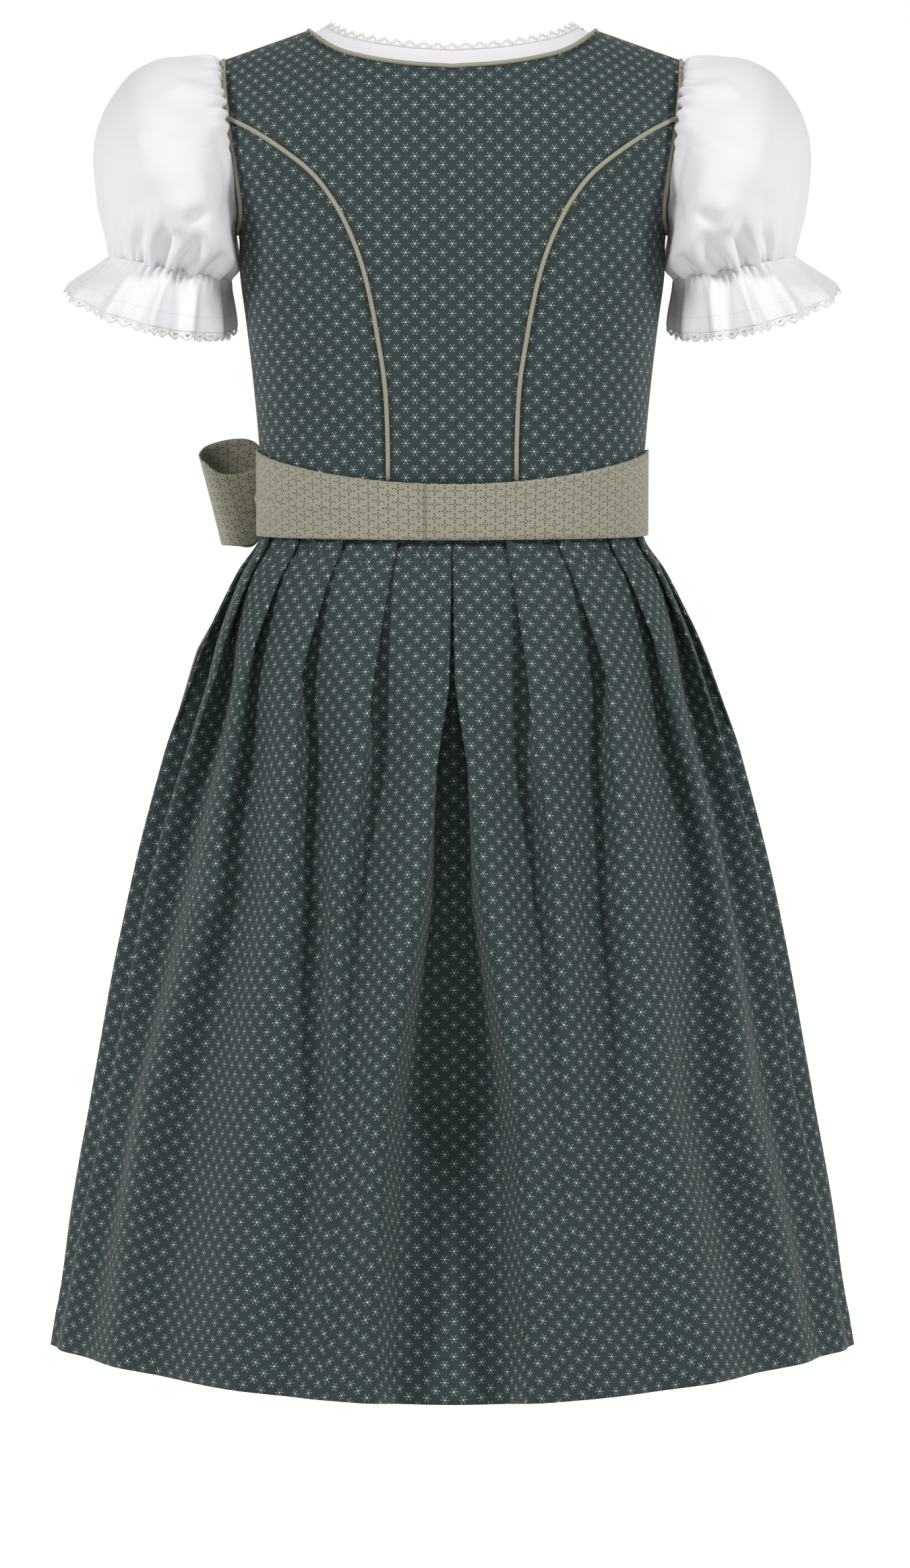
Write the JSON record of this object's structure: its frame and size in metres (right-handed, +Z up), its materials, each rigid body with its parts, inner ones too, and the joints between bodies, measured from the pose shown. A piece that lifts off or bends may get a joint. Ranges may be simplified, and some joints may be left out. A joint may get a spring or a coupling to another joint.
{
  "type": "dirndl dress with blouse and apron",
  "caption": "Child's dirndl set: sleeveless printed dress with pleated skirt, puff-sleeved white blouse with lace, and a tied half apron, hollow as worn.",
  "frame": {"origin": "midway between the shoulders, at the height of the shoulder tips, where the wearer holds the garment up", "axes": "+Z up along the body; -Y towards the garment's back; +X towards the wearer's right"},
  "size_m": [0.5364, 0.414, 0.8739],
  "materials": {
    "dress_cotton": "matt printed cotton, dark green-grey with small pale stars",
    "apron_cotton": "cotton satin, khaki with small dark crosses, soft sheen",
    "blouse_cotton": "white cotton batiste",
    "lace": "white cotton crochet edging",
    "piping": "khaki cotton bias piping",
    "button": "matt horn-coloured plastic"
  },
  "bodies": {
    "root": {"bodice_back_centre": "dress_cotton", "bodice_side_back_l": "dress_cotton", "bodice_side_back_r": "dress_cotton", "bodice_side_front_l": "dress_cotton", "bodice_side_front_r": "dress_cotton", "bodice_front_l": "dress_cotton", "bodice_front_r": "dress_cotton", "skirt": "dress_cotton", "piping_neck": "piping", "piping_armhole_l": "piping", "piping_armhole_r": "piping", "piping_princess_back_l": "piping", "piping_princess_back_r": "piping", "piping_princess_front_l": "piping", "piping_princess_front_r": "piping", "button_1": "button", "button_2": "button", "button_3": "button", "button_4": "button", "button_5": "button", "blouse_back": "blouse_cotton", "blouse_front": "blouse_cotton", "sleeve_l": "blouse_cotton", "sleeve_r": "blouse_cotton", "sleeve_ruffle_l": "blouse_cotton", "sleeve_ruffle_r": "blouse_cotton", "lace_neck": "lace", "lace_cuff_l": "lace", "lace_cuff_r": "lace", "apron": "apron_cotton", "waistband": "apron_cotton", "tie_back_left": "apron_cotton", "tie_back_right": "apron_cotton", "bow_loop_l": "apron_cotton", "bow_loop_r": "apron_cotton", "bow_knot": "apron_cotton", "bow_tail_l": "apron_cotton", "bow_tail_r": "apron_cotton"}
  },
  "joints": []
}
